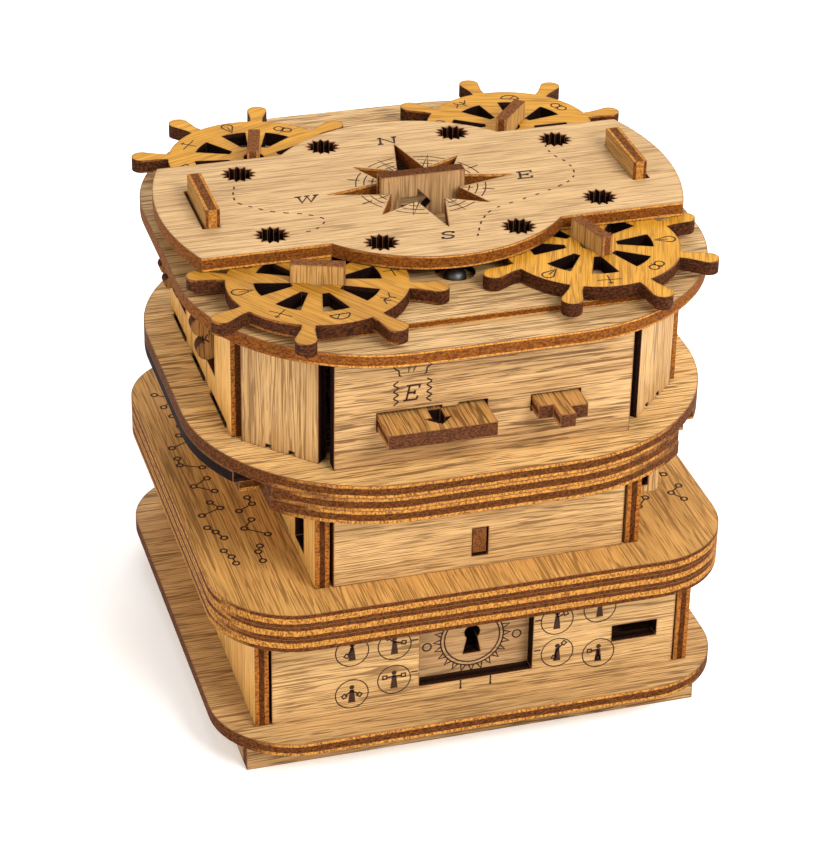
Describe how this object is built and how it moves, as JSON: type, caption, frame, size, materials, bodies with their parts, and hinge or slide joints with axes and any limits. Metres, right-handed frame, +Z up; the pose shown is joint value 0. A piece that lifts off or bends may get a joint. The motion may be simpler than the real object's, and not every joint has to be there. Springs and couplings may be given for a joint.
{
  "type": "wooden puzzle box",
  "caption": "Stacked plywood puzzle box with sliding keys, thumbwheels and hand-turned ship's wheels under a lift-off compass cover.",
  "frame": {"origin": "on the ground under the middle of the box", "axes": "+Z up; the front panels with the keyhole face -Y; +X is to the right seen from the front"},
  "size_m": [0.1314, 0.1316, 0.1322],
  "materials": {
    "birch_ply": "matte, laser-cut edges burnt brown",
    "tan_ply": "matte, laser-cut edges burnt brown",
    "amber_ply": "satin, laser-cut edges burnt dark",
    "steel": "polished"
  },
  "bodies": {
    "root": {"axle_brackets": "birch_ply", "base_plate": "birch_ply", "bolt_guide": "birch_ply", "collar_lower_ply": "birch_ply", "collar_middle_ply": "birch_ply", "collar_upper_ply": "birch_ply", "deck_pad": "birch_ply", "deck_plate": "birch_ply", "front_left_corner_panel": "birch_ply", "front_right_corner_panel": "birch_ply", "hub_spacer": "birch_ply", "key_fences": "birch_ply", "key_shelf": "birch_ply", "keyhole_rails": "birch_ply", "ledge_lower_ply": "tan_ply", "ledge_middle_ply": "tan_ply", "ledge_upper_ply": "tan_ply", "low_back_panel": "birch_ply", "low_front_panel": "birch_ply", "low_left_wall": "birch_ply", "low_right_wall": "birch_ply", "middle_back_panel": "birch_ply", "middle_front_panel": "birch_ply", "middle_left_wall": "birch_ply", "middle_right_wall": "birch_ply", "rear_left_corner_panel": "birch_ply", "rear_right_corner_panel": "birch_ply", "side_catch": "birch_ply", "skirt_back": "birch_ply", "skirt_front": "birch_ply", "skirt_sides": "birch_ply", "slider_runners": "birch_ply", "steel_stud": "steel", "thumb_axle": "birch_ply", "top_back_panel": "birch_ply", "top_front_panel": "birch_ply", "top_left_boards": "birch_ply", "top_right_boards": "birch_ply", "wheel_pins": "birch_ply"},
    "keyhole_slide_plate": {"keyhole_plate": "birch_ply"},
    "drawer": {"ledge_drawer": "tan_ply"},
    "bolt": {"front_bolt": "birch_ply"},
    "left_side_slider": {"left_slider": "birch_ply"},
    "right_side_slider": {"right_slider": "birch_ply"},
    "bar": {"slide_bar": "birch_ply"},
    "tee": {"t_key": "birch_ply"},
    "front_thumb": {"front_thumbwheel": "birch_ply"},
    "rear_thumb": {"rear_thumbwheel": "birch_ply"},
    "helm_front_left": {"front_left_wheel": "amber_ply", "front_left_tab": "amber_ply"},
    "helm_front_right": {"front_right_wheel": "amber_ply", "front_right_tab": "amber_ply"},
    "helm_rear_left": {"rear_left_wheel": "amber_ply", "rear_left_tab": "amber_ply"},
    "helm_rear_right": {"rear_right_wheel": "amber_ply", "rear_right_tab": "amber_ply"},
    "cover": {"cover_plate": "birch_ply", "cover_left_tab": "birch_ply", "cover_right_tab": "birch_ply"},
    "compass": {"compass_key": "birch_ply"}
  },
  "joints": [
    {"name": "keyhole_plate_slide", "type": "slide", "parent": "root", "child": "keyhole_slide_plate", "axis": [1, 0, 0], "range_m": [-0.0039, 0.0039]},
    {"name": "drawer_slide", "type": "slide", "parent": "root", "child": "drawer", "axis": [-1, 0, 0], "range_m": [0, 0.02]},
    {"name": "bolt_slide", "type": "slide", "parent": "root", "child": "bolt", "axis": [0, -1, 0], "range_m": [-0.006, 0.004]},
    {"name": "left_slider_slide", "type": "slide", "parent": "root", "child": "left_side_slider", "axis": [-1, 0, 0], "range_m": [0, 0.012]},
    {"name": "right_slider_slide", "type": "slide", "parent": "root", "child": "right_side_slider", "axis": [1, 0, 0], "range_m": [0, 0.012]},
    {"name": "bar_slide", "type": "slide", "parent": "root", "child": "bar", "axis": [0, -1, 0], "range_m": [-0.0084, 0.006]},
    {"name": "t_key_slide", "type": "slide", "parent": "root", "child": "tee", "axis": [0, -1, 0], "range_m": [-0.0045, 0.005]},
    {"name": "front_thumb_spin", "type": "hinge", "parent": "root", "child": "front_thumb", "pos_m": [-0.0504, -0.014, 0.1023], "axis": [0, 1, 0], "continuous": true},
    {"name": "rear_thumb_spin", "type": "hinge", "parent": "root", "child": "rear_thumb", "pos_m": [-0.0504, 0.021, 0.1023], "axis": [0, 1, 0], "continuous": true},
    {"name": "front_left_wheel_spin", "type": "hinge", "parent": "root", "child": "helm_front_left", "pos_m": [-0.0356, -0.0358, 0.1219], "axis": [0, 0, 1], "continuous": true},
    {"name": "front_right_wheel_spin", "type": "hinge", "parent": "root", "child": "helm_front_right", "pos_m": [0.0325, -0.0342, 0.1219], "axis": [0, 0, 1], "continuous": true},
    {"name": "rear_left_wheel_spin", "type": "hinge", "parent": "root", "child": "helm_rear_left", "pos_m": [-0.0342, 0.033, 0.1219], "axis": [0, 0, 1], "continuous": true},
    {"name": "rear_right_wheel_spin", "type": "hinge", "parent": "root", "child": "helm_rear_right", "pos_m": [0.0345, 0.0348, 0.1219], "axis": [0, 0, 1], "continuous": true},
    {"name": "cover_lift", "type": "slide", "parent": "root", "child": "cover", "axis": [0, 0, 1], "range_m": [0, 0.025]},
    {"name": "compass_key_lift", "type": "slide", "parent": "root", "child": "compass", "axis": [0, 0, 1], "range_m": [0, 0.026]}
  ]
}
